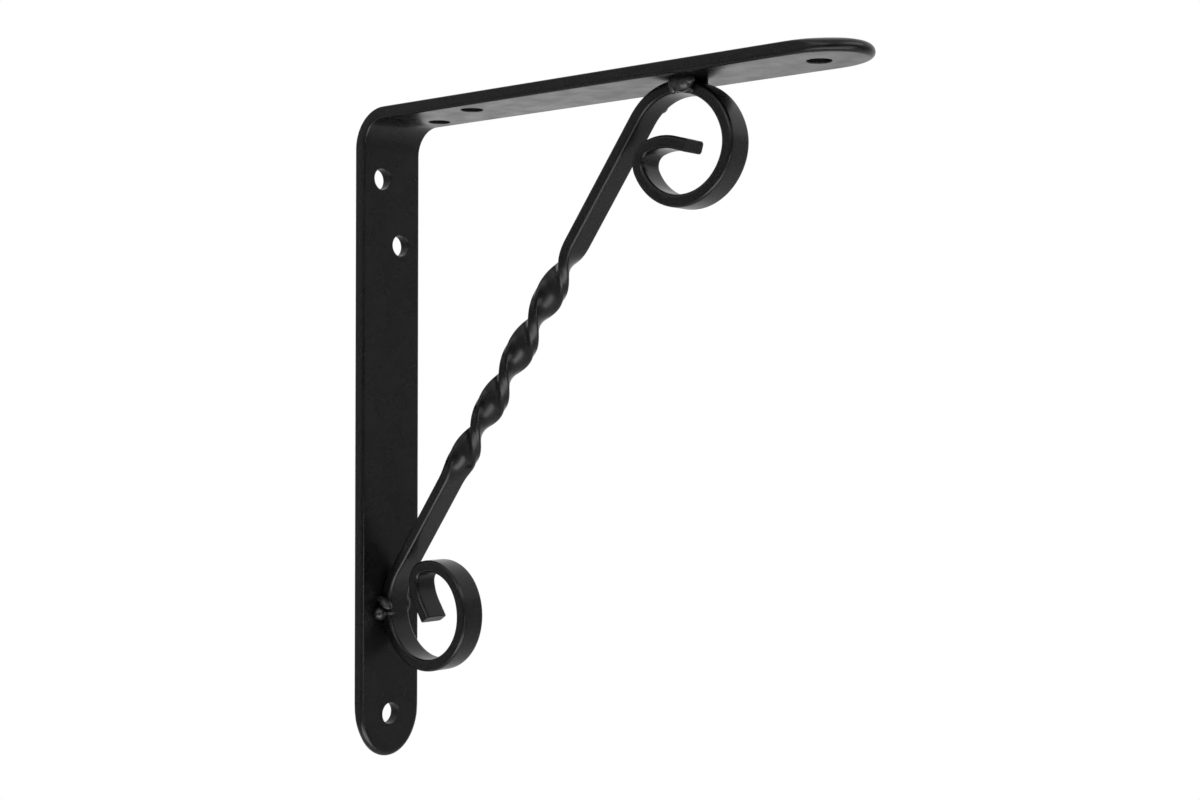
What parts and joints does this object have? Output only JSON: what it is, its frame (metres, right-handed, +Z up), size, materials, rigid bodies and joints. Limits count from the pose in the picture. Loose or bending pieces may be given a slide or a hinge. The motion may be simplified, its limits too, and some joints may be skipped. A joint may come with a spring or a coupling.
{
  "type": "wall bracket",
  "caption": "Right-angle shelf bracket of flat bar, stiffened by a twisted brace with a scroll at each end, drilled for screws in both legs.",
  "frame": {"origin": "on the wall face of the strap, midway across its width and midway up its height", "axes": "+X out from the wall, +Y across the strap, +Z up towards the shelf"},
  "size_m": [0.1465, 0.02, 0.1666],
  "materials": {
    "bar": "satin black paint over hot-rolled flat bar",
    "weld": "satin black paint over lumpy arc-weld beads"
  },
  "bodies": {
    "root": {"angle_strap": "bar", "scroll_brace": "bar", "upper_weld": "weld", "lower_weld": "weld"}
  },
  "joints": []
}
